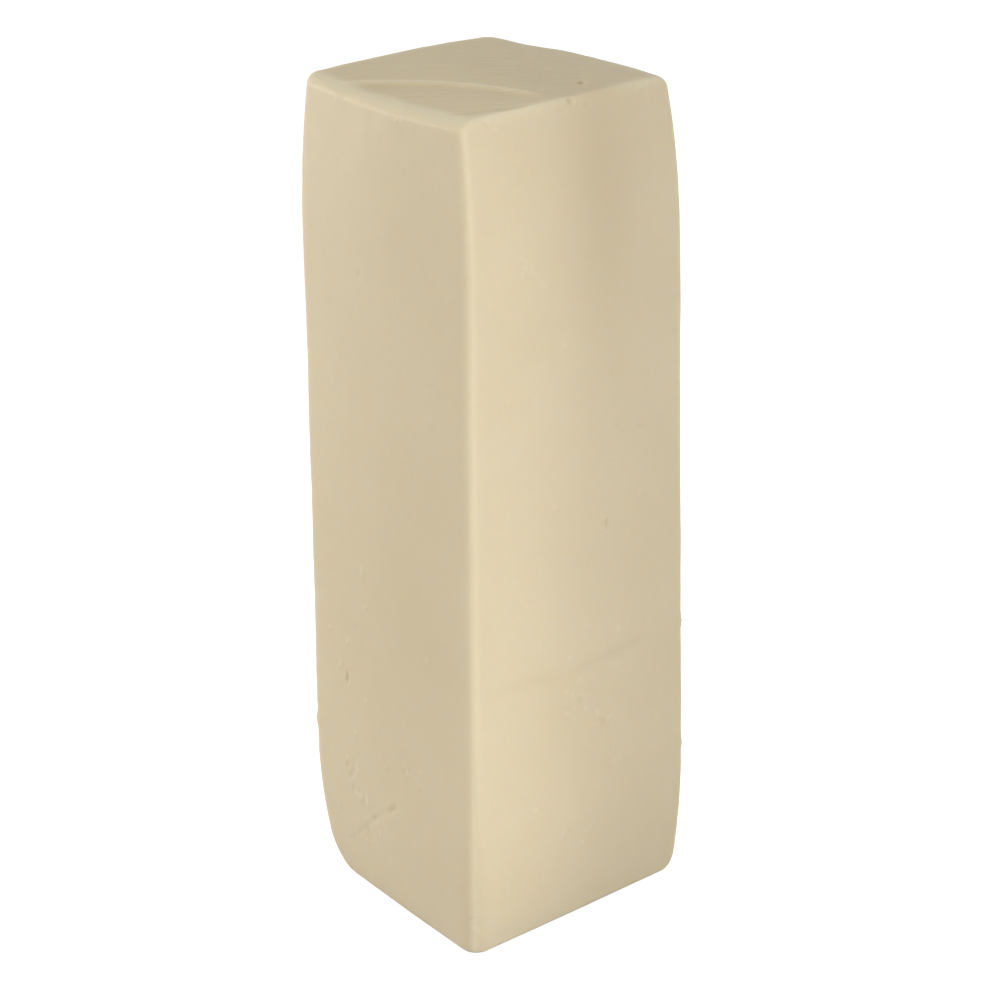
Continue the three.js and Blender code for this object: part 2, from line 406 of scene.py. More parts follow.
@dataclass(frozen=True)
class Mark:
    """A hollow or bump in a face, an oval with a faint lip round it.

    Attributes:
        side: The face that it is in.
        across: Its distance from the face's middle.
        up: Its height, or Y on the top.
        wide: Width of the oval.
        tall: Height of the oval.
        rise: How far its middle stands off the face: below 0 for a hollow.
        lean: The oval's lean from upright in degrees, to the left for someone who looks at it.
        lip: The lip's height, as a share of the rise, on the other side of the face.
    """

    side: Side
    across: float
    up: float
    wide: float
    tall: float
    rise: float
    lean: float = 0.0
    lip: float = 0.3

    def lift(self, skin: Skin) -> Array:
        """Works out how far the mark lifts the skin.

        The distance from the mark's middle is measured in half-ovals. The lift is a steep bell of that
        distance, less a low and wide bell that leaves the lip.

        Args:
            skin: The places on the skin.

        Returns:
            The lift at each place, in millimetres.
        """
        offset = skin.points - skin.block.spot(self.side, self.across, self.up)
        right, up = offset @ self.side.rightward, offset @ self.side.upward
        turn = math.radians(self.lean)
        along = up * math.cos(turn) - right * math.sin(turn)
        beside = right * math.cos(turn) + up * math.sin(turn)
        out = offset @ self.side.outward / max(self.wide, self.tall)
        squared = (2 * beside / self.wide) ** 2 + (2 * along / self.tall) ** 2 + (2 * out) ** 2
        bell = np.exp(-MARK_STEEPNESS * squared)
        wide_bell = np.exp(-LIP_STEEPNESS * squared)
        return self.rise * ((1 + self.lip) * bell - self.lip * wide_bell)


@dataclass(frozen=True)
class Groove:
    """A shallow line pressed into a face.

    Attributes:
        side: The face that it is in.
        line: Points that it runs through, each as its distance across the face from the face's middle and
            its height, or X and Y on the top.
        wide: Its width.
        rise: How far it stands off the face: below 0 for a groove.
        fade: The length at each end over which it runs out.
    """

    side: Side
    line: tuple[tuple[float, float], ...]
    wide: float
    rise: float
    fade: float

    def lift(self, skin: Skin) -> Array:
        """Works out how far the groove lifts the skin.

        Its height, or Y on the top, is the polynomial through its points. The lift is a bell of the
        distance from that curve, and runs out at the ends.

        Args:
            skin: The places on the skin.

        Returns:
            The lift at each place, in millimetres.
        """
        across, up = skin.flat(self.side)
        xs, ys = np.array(self.line).T
        curve = np.polynomial.Polynomial.fit(xs, ys, len(xs) - 1)
        distance = (up - curve(across)) / np.hypot(1, curve.deriv()(across))
        inside = np.minimum(across - xs.min(), xs.max() - across)
        strength = np.clip(inside / self.fade, 0, 1) * skin.on(self.side)
        return self.rise * strength * np.exp(-((2 * distance / self.wide) ** 2))


@dataclass(frozen=True)
class Crease:
    """The line on the top where two cuts meet: a low ridge, with a shallow trough on its near side.

    Attributes:
        start: X and Y of the line's end at the left rim.
        bend: The point that it bends towards.
        end: Its end at the front rim.
        ridge: Height of the ridge.
        ridge_wide: Width of the ridge.
        trough: Depth of the trough.
        trough_wide: Width of the trough.
        trough_gap: Distance of the trough's middle from the ridge.
        fade: The share of the line at each end over which both run out.
        weakened: The share of its height that the ridge has lost at its end.
        steps: The number of points that the line is worked out at.
    """

    start: tuple[float, float] = (-38.5, 21.5)
    bend: tuple[float, float] = (-14.0, -2.5)
    end: tuple[float, float] = (-5.0, -37.5)
    ridge: float = 1.05
    ridge_wide: float = 3.8
    trough: float = 0.26
    trough_wide: float = 9.0
    trough_gap: float = 5.5
    fade: float = 0.12
    weakened: float = 0.2
    steps: int = 96

    def lift(self, skin: Skin) -> Array:
        """Works out how far the crease lifts the top.

        The line is a quadratic Bezier curve. The nearest of its steps gives each place's distance from it,
        and the side that it lies on. The ridge and the trough are bells of that distance, and run out at
        the line's ends.

        Args:
            skin: The places on the skin.

        Returns:
            The lift at each place, in millimetres.
        """
        way = np.linspace(0, 1, self.steps)[:, None]
        start, bend, end = np.array([self.start, self.bend, self.end])
        line = (1 - way) ** 2 * start + 2 * way * (1 - way) * bend + way**2 * end
        heading = (1 - way) * (bend - start) + way * (end - bend)
        top = np.flatnonzero(skin.on(Side.TOP))
        plan = skin.points[top, :2]
        nearest = np.argmin(np.linalg.norm(plan[:, None] - line[None], axis=2), axis=1)
        offset = plan - line[nearest]
        along = heading[nearest] / np.linalg.norm(heading[nearest], axis=1, keepdims=True)
        near_side = along[:, 1] * offset[:, 0] - along[:, 0] * offset[:, 1]
        share = way[nearest, 0]
        ends = np.minimum(share, 1 - share)
        past = np.abs(np.sum(along * offset, axis=1))
        strength = np.clip(ends / self.fade, 0, 1) * np.exp(-((past / self.ridge_wide) ** 2))
        kept = 1 - self.weakened * share
        ridge = self.ridge * kept * np.exp(-((2 * near_side / self.ridge_wide) ** 2))
        trough = self.trough * np.exp(-((2 * (near_side - self.trough_gap) / self.trough_wide) ** 2))
        lift = np.zeros(len(skin.points))
        lift[top] = strength * (ridge - trough)
        return lift


@dataclass(frozen=True)
class Unevenness:
    """The slow unevenness of cut cheese: many low waves in all directions.

    Attributes:
        height: How far it stands off the skin in most places, either way.
        shortest: The shortest wave.
        longest: The longest wave.
        waves: The number of waves.
        seed: Seed of the draw.
    """

    height: float
    shortest: float
    longest: float
    waves: int
    seed: int

    def lift(self, skin: Skin) -> Array:
        """Works out how far the waves lift the skin.

        The lift is a sum of cosines, each along its own direction with its own length and phase, all drawn
        from the seed.

        Args:
            skin: The places on the skin.

        Returns:
            The lift at each place, in millimetres.
        """
        draw = np.random.default_rng(self.seed)
        heading = draw.normal(size=(3, self.waves))
        heading /= np.linalg.norm(heading, axis=0)
        turns = 2 * np.pi / draw.uniform(self.shortest, self.longest, self.waves)
        phase = draw.uniform(0, 2 * np.pi, self.waves)
        waves = np.cos(skin.points @ (heading * turns) + phase)
        return self.height * waves.sum(axis=1) * math.sqrt(2 / self.waves)


@dataclass(frozen=True)
class Scuffs:
    """Small flecks and hollows strewn over a patch of a face.

    Attributes:
        side: The face.
        across: The patch's distance from the face's middle.
        up: Its height, or Y on the top.
        wide: Width of the patch.
        tall: Height of the patch.
        count: The number of marks.
        rise: How far the largest stand off the face.
        seed: Seed of the draw.
        raised: The share of the marks that are raised.
        widths: Least and most width of a mark.
        stretch: Least and most height of a mark, for its width.
        least_rise: Rise of the lowest marks, as a share of the largest's.
        lean: The most that a mark leans either way, in degrees.
    """

    side: Side
    across: float
    up: float
    wide: float
    tall: float
    count: int
    rise: float
    seed: int
    raised: float = 0.6
    widths: tuple[float, float] = (1.0, 2.6)
    stretch: tuple[float, float] = (0.8, 2.0)
    least_rise: float = 0.4
    lean: float = 60.0

    def marks(self) -> list[Mark]:
        """Draws the marks from the seed, with their places, sizes, rises and leans spread evenly.

        Returns:
            The marks.
        """
        draw = np.random.default_rng(self.seed)
        across = self.across + self.wide * draw.uniform(-0.5, 0.5, self.count)
        up = self.up + self.tall * draw.uniform(-0.5, 0.5, self.count)
        wide = draw.uniform(*self.widths, self.count)
        tall = wide * draw.uniform(*self.stretch, self.count)
        sign = np.where(draw.uniform(size=self.count) < self.raised, 1, -1)
        rise = sign * self.rise * draw.uniform(self.least_rise, 1.0, self.count)
        lean = draw.uniform(-self.lean, self.lean, self.count)
        rows = np.stack([across, up, wide, tall, rise, lean], axis=1).tolist()
        return [Mark(self.side, *row) for row in rows]


@dataclass(frozen=True)
class Clouds:
    """Soft clouds of a value round a half, all over a finish.

    Attributes:
        size: Size of a cloud, in millimetres.
        spread: The two values that are read as nothing and as full.
        detail: The number of finer layers in the clouds.
    """

    size: float
    spread: tuple[float, float]
    detail: float = 3.0


class Nodes:
    """Adds and links the nodes of one material or world."""

    def __init__(self, tree: bpy.types.NodeTree) -> None:
        """Empties a node tree and takes it over.

        Args:
            tree: The node tree.
        """
        self.tree = tree
        tree.nodes.clear()

    def add(self, kind: str, inputs: dict | None = None, **settings: object) -> bpy.types.Node:
        """Adds one node.

        Args:
            kind: The node's type name.
            inputs: For an input's name or number, a value, or the output socket that feeds it.
            **settings: Values of the node's own settings.

        Returns:
            The node.
        """
        node = self.tree.nodes.new(kind)
        for name, value in settings.items():
            setattr(node, name, value)
        for key, value in (inputs or {}).items():
            if isinstance(value, bpy.types.NodeSocket):
                self.tree.links.new(value, node.inputs[key])
            else:
                node.inputs[key].default_value = value
        return node

    def noise(self, place: bpy.types.NodeSocket, clouds: Clouds) -> bpy.types.NodeSocket:
        """Adds clouds over places in millimetres, as a value round a half."""
        inputs = {"Vector": place, "Scale": 1 / clouds.size, "Detail": clouds.detail}
        return self.add("ShaderNodeTexNoise", inputs).outputs["Fac"]

    def attribute(self, name: str) -> bpy.types.NodeSocket:
        """Adds one of the skin's stored values."""
        return self.add("ShaderNodeAttribute", attribute_name=name).outputs["Fac"]

    def ranged(
        self, value: bpy.types.NodeSocket, source: tuple[float, float], target: tuple[float, float] = (0, 1)
    ) -> bpy.types.NodeSocket:
        """Adds a clamped straight map of a value from one range to another.

        Args:
            value: The value.
            source: The range that it is read over.
            target: The range that it is mapped to.

        Returns:
            The mapped value.
        """
        inputs = {"Value": value, "From Min": source[0], "From Max": source[1]}
        inputs |= {"To Min": target[0], "To Max": target[1]}
        return self.add("ShaderNodeMapRange", inputs).outputs["Result"]

    def math(self, operation: str, *values: bpy.types.NodeSocket | float) -> bpy.types.NodeSocket:
        """Adds one sum, product or other operation on values."""
        return self.add("ShaderNodeMath", dict(enumerate(values)), operation=operation).outputs["Value"]

    def blend(
        self, share: bpy.types.NodeSocket, first: bpy.types.NodeSocket | Colour, second: Colour
    ) -> bpy.types.NodeSocket:
        """Adds a mix of two colours.

        Args:
            share: The second colour's share, from 0 to 1.
            first: The first colour, or the output that gives it.
            second: The second colour.

        Returns:
            The mixed colour.
        """
        node = self.add("ShaderNodeMix", data_type="RGBA")
        sockets = {socket.identifier: socket for socket in node.inputs}
        for identifier, value in {"Factor_Float": share, "A_Color": first, "B_Color": second}.items():
            if isinstance(value, bpy.types.NodeSocket):
                self.tree.links.new(value, sockets[identifier])
            else:
                sockets[identifier].default_value = (*value, 1)
        return next(socket for socket in node.outputs if socket.identifier == "Result_Color")


@dataclass(frozen=True)
class CheeseFinish:
    """Smooth, dense, faintly waxy cheese that light sinks a millimetre or two into.

    Attributes:
        name: Name of the material.
        pale: Colour of most of the skin.
        warm: Colour of its slow, warmer clouds.
        edge: Colour along the edges, a painted highlight.
        edge_highlight_share: How far the edges take on that painted highlight, from 0 to 1.
        cut: Colour of the cut across the top.
        raised: Colour of scuffed, raised flecks, and the painted highlight on the crease's ridge.
        hollow: Colour at the bottom of a hollow, painted there as shade. The grain and the streaks take it
            on too.
        cloud: The slow clouds.
        grain: The fine grain.
        grain_share: How far the grain takes on the hollows' colour.
        grain_height: Height of the grain, in millimetres.
        streak: The streaks that the cut left on the top, by their width.
        streak_length: Length of a streak, in millimetres.
        streak_turn: Degrees that the streaks are turned from the X axis.
        streak_shade_share: How far the streaks take on the hollows' colour, as painted shade.
        streak_height: Height of the streaks, in millimetres.
        sheen: The patches that are duller or glossier.
        roughness: Least and most roughness.
        ior: Index of refraction.
        specular: Level of the light that the skin mirrors.
        depth: How far red, green and blue light spreads under the skin, in metres.
    """

    name: str = "monterey_jack"
    pale: Colour = (0.717, 0.6195, 0.435)
    warm: Colour = (0.703, 0.6025, 0.416)
    edge: Colour = (0.795, 0.715, 0.518)
    edge_highlight_share: float = 0.7
    cut: Colour = (0.716, 0.602, 0.394)
    raised: Colour = (0.768, 0.675, 0.498)
    hollow: Colour = (0.655, 0.550, 0.370)
    cloud: Clouds = Clouds(38.0, (0.35, 0.65))
    grain: Clouds = Clouds(2.2, (0.3, 0.7), detail=5.0)
    grain_share: float = 0.16
    grain_height: float = 0.06
    streak: Clouds = Clouds(1.5, (0.4, 0.7))
    streak_length: float = 16.0
    streak_turn: float = -39.0
    streak_shade_share: float = 0.3
    streak_height: float = 0.42
    sheen: Clouds = Clouds(6.0, (0.3, 0.7))
    roughness: tuple[float, float] = (0.42, 0.58)
    ior: float = 1.42
    specular: float = 0.35
    depth: tuple[float, float, float] = (0.0018, 0.0014, 0.0010)

    def material(self) -> bpy.types.Material:
        """Makes the cheese's material.

        Slow clouds move the colour between pale and warm. A fine grain mottles and roughens it all over,
        and long streaks do the same across the top, their darkening painted shade. The skin's attributes
        paint shade into its hollows and a highlight along its edges and the crease's ridge, and lighten
        its raised flecks.

        Returns:
            The material.
        """
        material = bpy.data.materials.new(self.name)
        material.use_nodes = True
        nodes = Nodes(material.node_tree)
        place = nodes.add("ShaderNodeTexCoord").outputs["Object"]
        place = nodes.add("ShaderNodeMapping", {"Vector": place, "Scale": (1 / MM,) * 3}).outputs["Vector"]
        relief, top = nodes.attribute("relief"), nodes.attribute("top")
        grain = nodes.noise(place, self.grain)
        streaks = nodes.math("MULTIPLY", self.streaks(nodes, place), top)

        clouds = nodes.ranged(nodes.noise(place, self.cloud), self.cloud.spread)
        mottle = nodes.ranged(grain, self.grain.spread, (0.0, self.grain_share))
        # Painted shade along the top's streaks.
        streak_shade = nodes.ranged(streaks, self.streak.spread, (0.0, self.streak_shade_share))
        # Mask of the painted highlight along the edges.
        edges = nodes.math("MULTIPLY", nodes.attribute("edge"), self.edge_highlight_share)
        colour = nodes.blend(clouds, self.pale, self.warm)
        colour = nodes.blend(top, colour, self.cut)
        colour = nodes.blend(mottle, colour, self.hollow)
        colour = nodes.blend(streak_shade, colour, self.hollow)
        # Painted highlight: the edges lighten towards the edge colour.
        colour = nodes.blend(edges, colour, self.edge)
        # Pale raised flecks, and a painted highlight on the crease's ridge.
        colour = nodes.blend(nodes.ranged(relief, (0.0, 1.0)), colour, self.raised)
        # Painted shade: hollows, grooves, the crease's trough and the broad hollows darken towards the
        # hollow colour.
        colour = nodes.blend(nodes.ranged(relief, (0.0, -1.0)), colour, self.hollow)
        roughness = nodes.ranged(nodes.noise(place, self.sheen), self.sheen.spread, self.roughness)
        grain_height = nodes.math("MULTIPLY", grain, self.grain_height)
        height = nodes.math("MULTIPLY_ADD", streaks, self.streak_height, grain_height)
        bump = nodes.add("ShaderNodeBump", {"Height": height, "Distance": MM, "Strength": 1.0})

        shader = nodes.add(
            "ShaderNodeBsdfPrincipled",
            {
                "Base Color": colour,
                "Roughness": roughness,
                "Normal": bump.outputs["Normal"],
                "IOR": self.ior,
                "Specular IOR Level": self.specular,
                "Subsurface Weight": 1.0,
                "Subsurface Radius": tuple(length / self.depth[0] for length in self.depth),
                "Subsurface Scale": self.depth[0],
            },
        )
        nodes.add("ShaderNodeOutputMaterial", {"Surface": shader.outputs["BSDF"]})
        return material

    def streaks(self, nodes: Nodes, place: bpy.types.NodeSocket) -> bpy.types.NodeSocket:
        """Adds long, narrow clouds that lie along the cut of the top.

        Args:
            nodes: The material's nodes.
            place: The place on the skin in millimetres.

        Returns:
            A value round a half.
        """
        turn = (0, 0, -math.radians(self.streak_turn))
        turned = nodes.add("ShaderNodeMapping", {"Vector": place, "Rotation": turn}).outputs["Vector"]
        scale = (self.streak.size / self.streak_length, 1, 1)
        drawn = nodes.add("ShaderNodeMapping", {"Vector": turned, "Scale": scale}).outputs["Vector"]
        return nodes.noise(drawn, self.streak)


@dataclass
class CheeseLoaf:
    """The loaf of cheese: its block, the relief of its skin and its finish.

    Attributes:
        name: Name of the piece.
        block: The bare block.
        crease: The crease across the top.
        grooves: The seam across the front, in two lengths, the scratch on the left side and a faint line
            near the front left corner of the top.
        marks: The hollows and bumps that stand out.
        broad_hollows: The wide and shallow hollows, which are darkened with painted shade too.
        sunken_corner: The top's corner at the back right, which has sunk a little.
        scuffs: The fainter flecks and hollows of every face.
        unevenness: Its slow and its fine waves.
        finish: The cheese.
        columns: Panels across each side.
        crowding: How far the panels crowd towards the edges, from 1 for not at all.
        rows: Panels up the foot's rim, the body and the top's rim.
        cuts: Cuts across each panel that has fine relief.
        fine_relief: The relief from which a panel is cut.
        edge_highlight_width: The width over which the edges are lightened with a painted highlight.
        full_relief: The relief at which a fleck has its full pale colour, or a hollow its full painted
            shade.
        crease_painted_light_share: The share of the crease's relief that shows in its colour: painted
            highlight and shade.
    """

    name: str = "monterey_jack_loaf"
    block: Block = Block()
    crease: Crease = Crease()
    grooves: tuple[Groove, ...] = (
        Groove(Side.FRONT, ((-36.0, 93.2), (-22.0, 92.0), (-7.0, 90.2)), 4.0, -0.12, 6.0),
        Groove(Side.FRONT, ((-8.0, 91.2), (7.0, 91.4), (26.0, 93.0)), 3.8, -0.18, 6.0),
        Groove(Side.LEFT, ((-4.0, 38.0), (6.5, 30.0), (18.0, 20.0), (27.0, 13.0)), 2.4, -0.11, 6.0),
        Groove(Side.TOP, ((-39.0, -28.5), (-28.5, -35.5), (-14.0, -40.0)), 1.6, -0.25, 4.0),
    )
    marks: tuple[Mark, ...] = (
        Mark(Side.FRONT, 8.0, 137.0, 2.0, 3.4, -0.5, lean=-8),
        Mark(Side.FRONT, -12.5, 148.0, 2.4, 2.4, 0.14),
        Mark(Side.FRONT, 22.0, 143.0, 2.0, 3.0, 0.14),
        Mark(Side.FRONT, -7.0, 95.5, 2.4, 2.6, 0.22),
        Mark(Side.FRONT, -3.0, 87.0, 2.0, 2.0, 0.2),
        Mark(Side.FRONT, 11.5, 87.0, 6.0, 1.4, 0.18),
        Mark(Side.FRONT, 19.5, 84.5, 1.8, 1.8, 0.2),
        Mark(Side.FRONT, 1.0, 101.0, 3.0, 3.4, -0.16, lip=0.8),
        Mark(Side.FRONT, -31.0, 67.0, 5.0, 2.0, 0.1),
        Mark(Side.FRONT, -21.0, 47.0, 2.6, 2.6, 0.24),
        Mark(Side.FRONT, -21.0, 40.0, 2.2, 2.2, 0.2),
        Mark(Side.FRONT, 12.0, 168.0, 5.0, 1.8, -0.14, lean=10),
        Mark(Side.FRONT, 22.0, 165.0, 5.0, 1.8, -0.14, lean=-10),
        Mark(Side.FRONT, 42.0, 91.5, 3.5, 5.0, 0.4),
        Mark(Side.FRONT, 42.0, 47.5, 3.5, 6.0, 0.4),
        Mark(Side.FRONT, -42.8, 16.0, 6.0, 1.6, 0.18, lean=12),
        Mark(Side.FRONT, -42.6, 10.0, 5.0, 2.6, 0.22, lean=-15),
        Mark(Side.FRONT, -1.0, 269.2, 2.4, 3.2, -0.3, lip=0.6),
        Mark(Side.LEFT, 20.0, 75.5, 2.0, 5.0, -0.36, lean=-6, lip=0.7),
        Mark(Side.LEFT, -23.5, 98.5, 2.2, 2.8, 0.26),
        Mark(Side.LEFT, 9.5, 71.0, 2.0, 3.6, 0.22, lean=20),
        Mark(Side.LEFT, 16.0, 57.0, 2.2, 2.4, 0.22),
        Mark(Side.LEFT, 19.5, 88.5, 1.8, 2.4, 0.2),
        Mark(Side.LEFT, 30.0, 89.5, 2.0, 2.0, 0.18),
        Mark(Side.LEFT, -4.0, 38.0, 2.8, 8.0, -0.28, lean=-48, lip=0.7),
        Mark(Side.LEFT, 6.5, 30.0, 2.6, 4.4, -0.2, lean=-48, lip=0.6),
        Mark(Side.LEFT, -6.0, 53.0, 1.3, 5.0, -0.22, lip=0.6),
        Mark(Side.LEFT, 16.5, 34.5, 2.6, 2.4, 0.26),
        Mark(Side.LEFT, 4.0, 25.5, 2.0, 3.2, 0.2, lean=15),
        Mark(Side.LEFT, 10.0, 117.0, 3.0, 4.6, 0.24, lean=-10),
        Mark(Side.LEFT, 6.5, 213.0, 2.4, 2.0, 0.16),
        Mark(Side.LEFT, 3.0, 232.5, 1.3, 3.6, -0.22, lean=50),
        Mark(Side.LEFT, 42.3, 51.4, 5.0, 5.0, 0.55),
        Mark(Side.LEFT, 43.5, 57.0, 3.0, 4.0, -0.4),
        Mark(Side.TOP, 12.5, -30.0, 2.0, 3.2, -1.3, lean=-39, lip=0.1),
        Mark(Side.BACK, -17.0, 189.0, 1.8, 2.9, -0.5, lean=-35),
        Mark(Side.BACK, 10.5, 123.0, 2.2, 3.5, -0.6, lean=35),
        Mark(Side.BACK, -6.0, 59.0, 1.6, 2.6, -0.5, lean=-35),
        Mark(Side.RIGHT, 13.5, 215.0, 1.6, 2.6, -0.5, lean=-35),
        Mark(Side.RIGHT, -11.5, 145.0, 2.0, 3.2, -0.6, lean=35),
        Mark(Side.RIGHT, 20.0, 81.0, 1.8, 2.9, -0.5, lean=-35),
        Mark(Side.RIGHT, -3.0, 40.0, 1.7, 2.7, -0.5, lean=35),
    )
    broad_hollows: tuple[Mark, ...] = (
        Mark(Side.FRONT, 8.0, 243.0, 32.0, 112.0, -0.4, lip=0.0),
        Mark(Side.LEFT, 0.0, 98.0, 90.0, 110.0, -0.18, lip=0.0),
    )
    sunken_corner: Mark = Mark(Side.TOP, 40.0, 24.0, 18.0, 26.0, -0.8, lip=0.0)
    scuffs: tuple[Scuffs, ...] = (
        Scuffs(Side.FRONT, -4.5, 80.0, 8.0, 8.0, count=10, rise=0.24, seed=31),
        Scuffs(Side.FRONT, 5.0, 69.0, 8.0, 10.0, count=10, rise=0.24, seed=32),
        Scuffs(Side.FRONT, 9.5, 56.5, 6.0, 10.0, count=6, rise=0.18, seed=33),
        Scuffs(Side.FRONT, -2.0, 30.0, 16.0, 13.0, count=14, rise=0.22, seed=34),
        Scuffs(Side.FRONT, 9.0, 97.0, 8.0, 6.0, count=5, rise=0.2, seed=35),
        Scuffs(Side.FRONT, -23.0, 226.0, 7.0, 6.0, count=6, rise=0.18, seed=36),
        Scuffs(Side.FRONT, -4.0, 206.0, 14.0, 18.0, count=10, rise=0.16, seed=37),
        Scuffs(Side.FRONT, 9.5, 190.0, 8.0, 10.0, count=8, rise=0.16, seed=38, raised=0.3),
        Scuffs(Side.LEFT, 13.0, 39.0, 18.0, 14.0, count=17, rise=0.24, seed=41),
        Scuffs(Side.LEFT, -15.0, 54.5, 10.0, 8.0, count=9, rise=0.18, seed=42),
        Scuffs(Side.LEFT, 3.5, 53.0, 8.0, 6.0, count=5, rise=0.16, seed=43),
        Scuffs(Side.LEFT, 18.0, 20.0, 20.0, 10.0, count=10, rise=0.2, seed=44),
        Scuffs(Side.LEFT, 20.0, 72.0, 14.0, 14.0, count=8, rise=0.16, seed=45),
        Scuffs(Side.TOP, 11.0, -3.5, 20.0, 16.0, count=10, rise=0.14, seed=51),
        Scuffs(Side.FRONT, 0.0, 267.5, 72.0, 4.0, count=16, rise=0.16, seed=52, raised=0.8),
        Scuffs(Side.LEFT, 0.0, 268.0, 76.0, 3.0, count=20, rise=0.16, seed=53, raised=1.0),
        Scuffs(Side.FRONT, 0.0, 135.0, 70.0, 240.0, count=40, rise=0.12, seed=61),
        Scuffs(Side.LEFT, 0.0, 135.0, 70.0, 240.0, count=40, rise=0.12, seed=62),
        Scuffs(Side.BACK, 0.0, 135.0, 64.0, 230.0, count=60, rise=0.16, seed=63),
        Scuffs(Side.RIGHT, 0.0, 135.0, 64.0, 230.0, count=60, rise=0.16, seed=64),
        Scuffs(Side.TOP, 0.0, 0.0, 66.0, 68.0, count=14, rise=0.1, seed=65),
    )
    unevenness: tuple[Unevenness, ...] = (
        Unevenness(height=0.10, shortest=24.0, longest=70.0, waves=30, seed=21),
        Unevenness(height=0.02, shortest=6.0, longest=16.0, waves=60, seed=22),
    )
    finish: CheeseFinish = CheeseFinish()
    columns: int = 60
    crowding: float = 1.25
    rows: tuple[int, int, int] = (12, 150, 11)
    cuts: int = 3
    fine_relief: float = 0.06
    edge_highlight_width: float = 2.0
    full_relief: float = 0.4
    crease_painted_light_share: float = 0.4

    def build(self) -> bpy.types.Object:
        """Makes the loaf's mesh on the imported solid's box.

        Returns:
            The loaf's object.
        """
        mesh = self.lattice_mesh()
        skin = Skin(self.block, self.vertices(mesh))
        self.put(mesh, self.laid(skin.points, skin.points))
        normals = np.empty(len(mesh.vertices) * 3, dtype=np.float32)
        mesh.vertex_normals.foreach_get("vector", normals)
        # The broad hollows go into the relief that is painted as shade.
        relief = self.fine_lift(skin) + sum(hollow.lift(skin) for hollow in self.broad_hollows)
        slow = self.sunken_corner.lift(skin) + sum(wave.lift(skin) for wave in self.unevenness)
        points = skin.points + normals.reshape(-1, 3) * self.kept_off_foot(skin, relief + slow)[:, None]
        self.put(mesh, self.laid(points, skin.points))
        mesh.shade_smooth()
        # Relief for colour: pale flecks, painted shade in hollows and a painted highlight on the crease's
        # ridge.
        flecks_and_painted_light = relief - (1 - self.crease_painted_light_share) * self.crease.lift(skin)
        self.store(mesh, "relief", np.clip(flecks_and_painted_light / self.full_relief, -1, 1))
        self.store(mesh, "top", skin.on(Side.TOP))
        # The mask of the painted highlight along the edges.
        self.store(mesh, "edge", np.exp(-((skin.edge_gap() / self.edge_highlight_width) ** 2)))
        loaf = bpy.data.objects.new(self.name, mesh)
        bpy.context.scene.collection.objects.link(loaf)
        return loaf

    def dress(self, loaf: bpy.types.Object) -> None:
        """Gives the loaf its cheese and sets it in the solid's place.

        Args:
            loaf: The loaf's object.
        """
        loaf.data.materials.append(self.finish.material())
        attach(loaf, "root")
        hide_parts(NODE)

    def lattice_mesh(self) -> bpy.types.Mesh:
        """Makes the lattice of panels, each vertex at its s, t and height, finer where relief is fine.

        Returns:
            The lattice as a mesh.
        """
        places, panels = self.box_lattice()
        mesh = bpy.data.meshes.new(self.name)
        mesh.from_pydata(places, [], panels)
        relief = np.abs(self.fine_lift(Skin(self.block, self.vertices(mesh))))
        cut = np.flatnonzero(relief[panels].max(axis=1) > self.fine_relief)
        lattice = bmesh.new()
        lattice.from_mesh(mesh)
        lattice.faces.ensure_lookup_table()
        edges = {edge for index in cut.tolist() for edge in lattice.faces[index].edges}
        bmesh.ops.subdivide_edges(lattice, edges=list(edges), cuts=self.cuts, use_grid_fill=True)
        uneven = [face for face in lattice.faces if len(face.verts) > 4]
        bmesh.ops.triangulate(lattice, faces=uneven)
        lattice.to_mesh(mesh)
        lattice.free()
        return mesh

    def box_lattice(self) -> tuple[Array, Array]:
        """Lays out the panels of a closed box.

        The sides are rings round the square's edge, one for each row's height. Each end is a square grid
        whose border is the first or the last ring. Columns crowd towards the edges by a power, and rows
        are close over the two rims.

        Returns:
            The places as rows of s, t and height, and the panels as rows of four places each.
        """
        even = np.linspace(-1, 1, self.columns + 1)
        column = np.sign(even) * (1 - (1 - np.abs(even)) ** self.crowding)
        height = self.row_heights()
        n = self.columns
        ring_s = np.concatenate([column[:-1], np.ones(n), column[:0:-1], -np.ones(n)])
        ring_t = np.concatenate([-np.ones(n), column[:-1], np.ones(n), column[:0:-1]])
        levels = len(height)
        rows = [np.tile(ring_s, levels), np.tile(ring_t, levels), np.repeat(height, 4 * n)]
        rings = np.stack(rows, axis=1)
        index = np.arange(len(rings)).reshape(levels, 4 * n)
        following = np.roll(index, -1, axis=1)
        sides = np.stack([index[:-1], following[:-1], following[1:], index[1:]], axis=-1).reshape(-1, 4)
        inner_s, inner_t = np.meshgrid(column[1:-1], column[1:-1], indexing="ij")
        places, panels = [rings], [sides]
        for ring, level, turned in ((index[0], height[0], True), (index[-1], height[-1], False)):
            grid = np.empty((n + 1, n + 1), dtype=int)
            grid[:-1, 0], grid[-1, :-1] = ring[:n], ring[n : 2 * n]
            grid[:0:-1, -1], grid[0, :0:-1] = ring[2 * n : 3 * n], ring[3 * n :]
            first = sum(len(part) for part in places)
            grid[1:-1, 1:-1] = first + np.arange((n - 1) ** 2).reshape(n - 1, n - 1)
            inner = [inner_s.ravel(), inner_t.ravel(), np.full((n - 1) ** 2, level)]
            places.append(np.stack(inner, axis=1))
            corners = [grid[:-1, :-1], grid[1:, :-1], grid[1:, 1:], grid[:-1, 1:]]
            cap = np.stack(corners, axis=-1).reshape(-1, 4)
            panels.append(cap[:, ::-1] if turned else cap)
        return np.concatenate(places), np.concatenate(panels)

